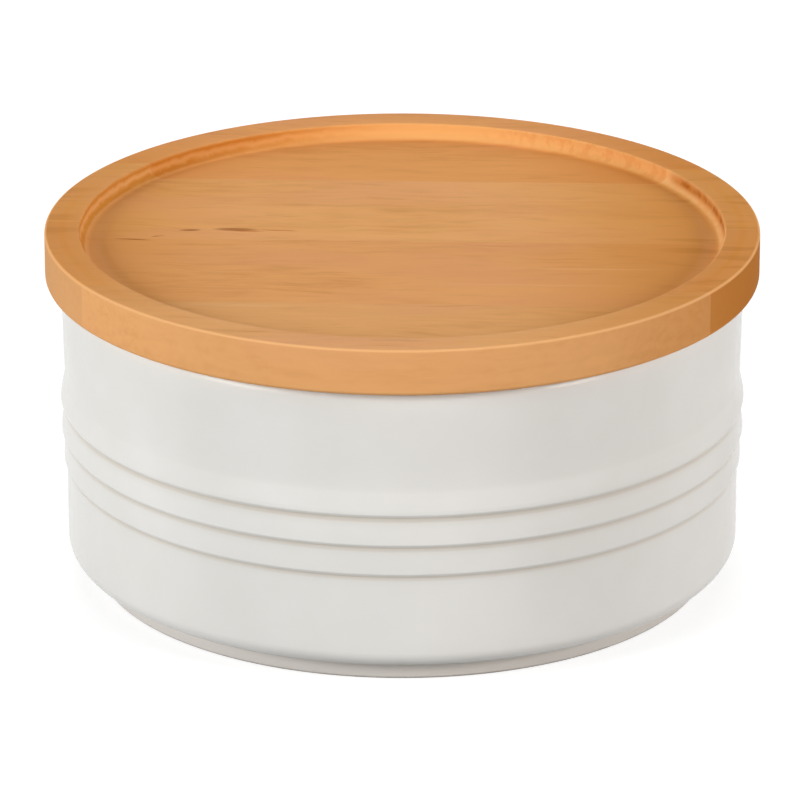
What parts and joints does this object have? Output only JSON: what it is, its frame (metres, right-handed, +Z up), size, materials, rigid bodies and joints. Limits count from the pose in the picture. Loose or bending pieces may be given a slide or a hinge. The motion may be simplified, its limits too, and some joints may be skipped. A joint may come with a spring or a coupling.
{
  "type": "storage jar",
  "caption": "Low round stoneware storage jar with stepped rings, a foot ring and a lift-off wooden lid sealed by a silicone ring, with a recess for stacking.",
  "frame": {"origin": "centre of the foot ring, on the surface the jar stands on", "axes": "+Z up along the jar's axis, -Y towards the front of the picture, +X to its right along the lid's grain"},
  "size_m": [0.14, 0.14, 0.0704],
  "materials": {
    "glazed_stoneware": "glossy off-white glaze",
    "lid_wood": "satin clear lacquer on warm honey wood",
    "silicone": "translucent white silicone, matte"
  },
  "bodies": {
    "jar": {"stoneware_jar": "glazed_stoneware"},
    "seal": {"silicone_seal": "silicone"},
    "lid": {"lid_stave_front": "lid_wood", "lid_stave_middle_front": "lid_wood", "lid_stave_middle_back": "lid_wood", "lid_stave_back": "lid_wood"}
  },
  "joints": [
    {"name": "lid_lift", "type": "slide", "parent": "jar", "child": "seal", "axis": [0, 0, 1], "range_m": [0, 0.1]},
    {"name": "lid_turn", "type": "hinge", "parent": "seal", "child": "lid", "pos_m": [0, 0, 0.0612], "axis": [0, 0, 1], "continuous": true}
  ]
}
